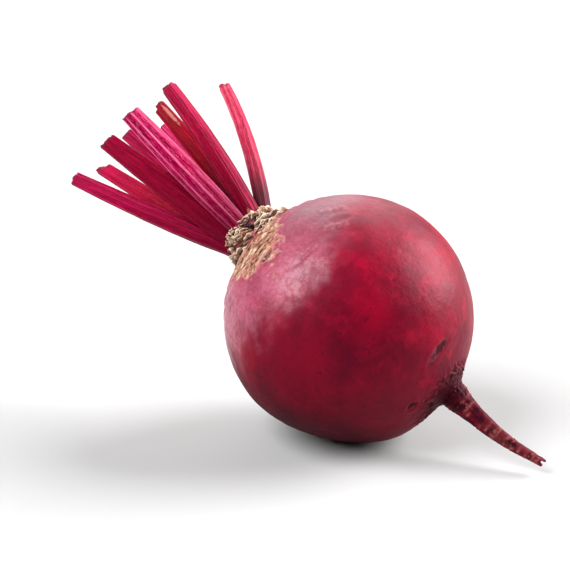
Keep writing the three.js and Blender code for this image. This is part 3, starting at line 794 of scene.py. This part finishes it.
# Healed scars: how far along the stalk, way round it, length, width, and how far the crust stands out.
STALK_SCARS = {
    "stalk_bruised": ((0.89, 0, 9.5, 2.0, 0.12),),
    "stalk_two_lobed": ((0.56, 150, 9, 1.0, 0.25), (0.47, 165, 4, 0.8, 0.2)),
    "stalk_lone": ((0.97, -60, 4, 1.2, 0.08),),
    "stalk_tall": ((0.04, 20, 5, 1.6, -0.15),),
}
# Long bands of painted highlight: way round the stalk and spread, in degrees.
STALK_HIGHLIGHT_BANDS = {"stalk_front_wide": ((152, 20),), "stalk_tall": ((52, 7), (78, 5)), "stalk_lone": ((-80, 12),)}
STAINED_FOOT = "stalk_lone"


def stalk_line(seat, seat_way, lean, way, long, bow):
    """The foot, middle control point and end of a stalk's bent line, and the direction that is outwards."""
    outward = Vector((math.cos(math.radians(way)), math.sin(math.radians(way)), 0))
    foot = Vector((
        seat * math.cos(math.radians(seat_way)),
        seat * math.sin(math.radians(seat_way)),
        CROWN_FOOT + CROWN_FLOOR + STALK_GAP,
    ))
    run = outward * math.sin(math.radians(lean)) * long
    run.z = math.cos(math.radians(lean)) * long
    return foot, foot + run * 0.5 + outward * 2 * bow, foot + run, outward


def drawn_stalk(name):
    """One stalk in its place, with masks for its ribs, its length, its cut end, its scars and its bands of
    painted highlight.
    """
    seat, seat_way, lean, way, long, bow, wide, thick, taper, swell, cut_across, cut_through = STALKS[name]
    foot, middle, end, outward = stalk_line(seat, seat_way, lean, way, long, bow)
    sunk = STALK_SUNK / long
    side_steps = [-sunk + (1 + sunk) * step / STALK_STEPS for step in range(STALK_STEPS + 1)]
    outline = [(0, side_steps[0])] + [(1, along) for along in side_steps]
    outline += [(1 - step / CUT_STEPS, 1) for step in range(1, CUT_STEPS + 1)]
    body = turned(outline[::-1], STALK_SIDES)
    masks = mask_layers(body, "rib", "along", "cut", "crust", "band")
    grain = body.verts.layers.float_vector.new("grain")
    random.seed(name)
    strength = [random.uniform(0.55, 1.35) for _ in range(RIBS)]
    twist = random.uniform(-0.25, 0.25)
    seed = Vector((random.uniform(0, 50), random.uniform(0, 50), 0))
    for corner in body.verts:
        inner, angle, _, _ = bearings(corner.co)
        along = corner.co.z
        at_cut = along > 0.999
        turn = (angle - math.pi / 6 + twist * along) * RIBS / (2 * math.pi)
        crest = math.cos(2 * math.pi * turn)
        high = strength[round(turn) % RIBS] * max(crest, 0) ** 1.5 - 0.35 * max(-crest, 0)
        high += 0.3 * math.cos(FINE_RIBS * angle + 1.5 * twist * along)
        radius = inner * 0.5 * (1 + RIB_HEIGHT * high * inner ** 2)
        x, y = radius * math.cos(angle), radius * math.sin(angle)
        if y < 0:
            channel = inner * CHANNEL_DEPTH * math.exp(-((x / CHANNEL_WIDTH) ** 2))
            y += channel * (0.4 + 0.6 * smoothstep(along, 0, 0.2))
        size = lerp(1, taper, along) * lerp(STALK_FOOT_SIZE, 1, smoothstep(along, 0, 0.3))
        size *= 1 + swell * math.sin(math.pi * min(max(along, 0), 1))
        size *= 1 + 0.025 * noise.noise(seed + Vector((0, 0, along * 6)))
        x *= wide * size
        y *= thick * size
        share = min(max(along, 0), 1)
        centre = foot.lerp(middle, share).lerp(middle.lerp(end, share), share)
        tangent = (middle - foot).lerp(end - middle, share).normalized()
        outer = (outward - tangent * outward.dot(tangent)).normalized()
        side = outer.cross(tangent)
        reach = min(along, 0) * long
        if at_cut:
            reach += x * math.tan(math.radians(cut_across)) + y * math.tan(math.radians(cut_through))
            torn = 0.16 * math.sin(5 * angle + way) + 0.35 * noise.noise(seed + Vector((x, y, 0)) * 0.8)
            torn += 0.16 * noise.noise(seed + Vector((x, y, 0)) * 3.4)
            reach += torn * inner - 0.35 * (1 - inner ** 2)
        lump = 0.07 * noise.noise(seed + Vector((x, y, along * long * 0.2)) * 0.9)
        crust = 0
        for at, way_round, scar_long, scar_wide, stands in STALK_SCARS.get(name, ()):
            length_share = 2 * (along - at) * long / scar_long
            width_share = 2 * math.radians(turn_from(math.degrees(angle), way_round)) * wide / 2 / scar_wide
            spot = length_share ** 2 + width_share ** 2
            spot += 0.6 * noise.noise(Vector((x, y, along * long)) * 1.1)
            if spot < 4:
                fill = 1 - max(spot, 0) / 4
                crust = max(crust, fill)
                grown = 1 + stands * fill * inner / max(math.hypot(x, y), 0.5)
                x, y = x * grown, y * grown
        corner[masks["rib"]] = 0.5 if at_cut else 0.5 + 0.5 * high
        corner[masks["along"]] = share
        corner[masks["cut"]] = 1.0 if at_cut and inner < 0.95 else 0.0
        corner[masks["crust"]] = crust
        # Bands of painted highlight at given ways round the stalk.
        bands = STALK_HIGHLIGHT_BANDS.get(name, ())
        turns = [turn_from(math.degrees(angle), band_way) / spread for band_way, spread in bands]
        corner[masks["band"]] = max((math.exp(-turn ** 2) for turn in turns), default=0)
        corner[grain] = (x, y, along * long)
        corner.co = centre + side * x + outer * (y + lump) + tangent * reach
    bmesh.ops.transform(body, matrix=LAID_DOWN, verts=body.verts)
    return body


def stalk_material(name):
    """Juicy stalk skin: crimson, with paler ribs, partly painted highlight, long streaks, painted shade at
    the foot, bands of painted highlight and a moist cut end.
    """
    deep, bright, pale, ribbing, tip = STALK_COLOURS[name]
    deep, bright, pale = srgb(*deep), srgb(*bright), srgb(*pale)
    material, wire = new_finish(name + "_skin")
    grain = wire.mask("grain", "Vector")
    stretched = wire.node("ShaderNodeMapping", {}, {"Vector": grain, "Scale": (1.3, 1.3, 0.06)})

    # Long streaks; pale crests and dark grooves, partly the stalk's own colour and partly painted highlight
    # and painted shade; thin dark lines; and pale threads.
    streak = wire.noise(stretched, 1.6, 4, 0.6)
    colour = streak.between(0.36, 0.66).blend(deep, bright)
    # Pale crests: the stalk's own ribs, partly painted highlight.
    crest = wire.mask("rib").between(0.62, 1.05) * wire.noise(stretched, 0.8, 2).between(0.3, 0.6)
    colour = (crest * ribbing).blend(colour, pale)
    # Dark grooves: partly painted shade.
    groove = 1 - wire.mask("rib").between(0.25, 0.55)
    thin = wire.noise(stretched, 4.2, 2, 0.5)
    colour = (groove * 0.34 + thin.between(0.52, 0.68) * 0.55).blend(colour, srgb(86, 0, 26))
    thread = wire.noise(stretched, 6.5, 2, 0.5).between(0.58, 0.66)
    colour = (thread * (0.2 + 0.5 * ribbing)).blend(colour, pale)

    # From the foot to the end: paler outwards, a dried rim at the cut, painted shade at the foot, and the
    # bands of painted highlight.
    along = wire.mask("along")
    band = wire.mask("band") * (1 - 0.45 * along.between(0, 0.3) * (1 - along.between(0.6, 0.9)))
    colour = (along.between(0.5, 1.05) * streak.between(0.2, 0.7) * tip).blend(colour, pale)
    dried = (along + 0.05 * (streak - 0.5)).between(0.972, 1.0) * 0.62
    colour = dried.blend(colour, srgb(96, 36, 52))
    # Painted shade at the foot.
    foot = 1 - along.between(0.0, 0.75)
    colour = (foot * 0.7).blend(colour, srgb(80, 0, 20))
    # Painted highlight bands.
    colour = (band * streak.between(0.25, 0.6) * 0.8).blend(colour, pale)
    if name == STAINED_FOOT:
        stain = (1 - (along + 0.25 * (streak - 0.5)).between(0.14, 0.36)) * 0.72
        colour = stain.blend(colour, srgb(72, 46, 50))

    # The moist cut, and the scars: a dark edge round tan, healed skin.
    colour = (wire.mask("cut") * wire.noise(grain, 3, 4).between(0.3, 0.7)).blend(colour, srgb(206, 84, 118))
    crust = wire.mask("crust")
    colour = (crust.between(0.3, 0.6) * 0.6).blend(colour, srgb(84, 14, 26))
    healed = (crust + 1.3 * (wire.noise(grain, 1.3, 6, 0.8) - 0.5)).between(0.62, 0.86) * 0.85
    colour = healed.blend(colour, srgb(176, 106, 94))

    fibre = wire.noise(stretched, 5, 4, 0.6)
    wire.surface("ShaderNodeBsdfPrincipled", {
        "Base Color": colour,
        "Roughness": 0.34 + 0.18 * streak,
        "Normal": (fibre + streak).relief(0.3, 0.0003),
        "Specular IOR Level": 0.08,
        "Specular Tint": (1, 0.4, 0.6, 1),
    })
    return material


for stalk_name in STALKS:
    kept(drawn_stalk(stalk_name), stalk_name + "_flesh", stalk_material(stalk_name), stalk_name)

# ---- Table, light and view -------------------------------------------------------------------------------
# A plain white table in a white room. A large soft lamp stands low behind the root on its right, another
# high in front on its left and a weak one behind. A long lens looks down on it from a little above.

TABLE_HALF = 6  # half the table's side, in metres
TABLE_GREY = 0.45
ROOM_LIGHT = 0.1
# Azimuth, 0 in front of the table and 90 on its right, elevation, the angle it is seen under, and power.
LAMPS = (
    ("lamp_right", 138, 29, 44, 7.6),
    ("lamp_back", 212, 38, 50, 1.3),
    ("lamp_front_left", -32, 45, 44, 4.8),
)
LENS_LENGTH, SENSOR_WIDTH = 100, 36
CAMERA_PLACE = 0.235277, -0.424451, 0.196283
CAMERA_AIM = -0.019356, -0.007529, 0.048928

bpy.context.scene.view_settings.view_transform = "Standard"

table_material, wire = new_finish("table_white")
wire.surface("ShaderNodeBsdfDiffuse", {"Color": (TABLE_GREY, TABLE_GREY, TABLE_GREY, 1)})
table = bmesh.new()
bmesh.ops.create_grid(table, x_segments=1, y_segments=1, size=TABLE_HALF)
table_piece = placed("table", mesh_of(table, "table", table_material))

world = bpy.data.worlds.new("room")
bpy.context.scene.world = world
world.use_nodes = True
background = world.node_tree.nodes["Background"]
background.inputs["Color"].default_value = (1, 1, 1, 1)
background.inputs["Strength"].default_value = ROOM_LIGHT

for lamp_name, azimuth, elevation, spread, power in LAMPS:
    light = bpy.data.lights.new(lamp_name, "SUN")
    light.angle, light.energy = math.radians(spread), power
    placed(lamp_name, light).rotation_euler = (math.radians(90 - elevation), 0, math.radians(azimuth))

lens = bpy.data.cameras.new("camera")
lens.lens, lens.sensor_width = LENS_LENGTH, SENSOR_WIDTH
camera = placed("camera", lens)
camera.location = CAMERA_PLACE
camera.rotation_euler = (Vector(CAMERA_AIM) - camera.location).to_track_quat("-Z", "Y").to_euler()
bpy.context.scene.camera = camera
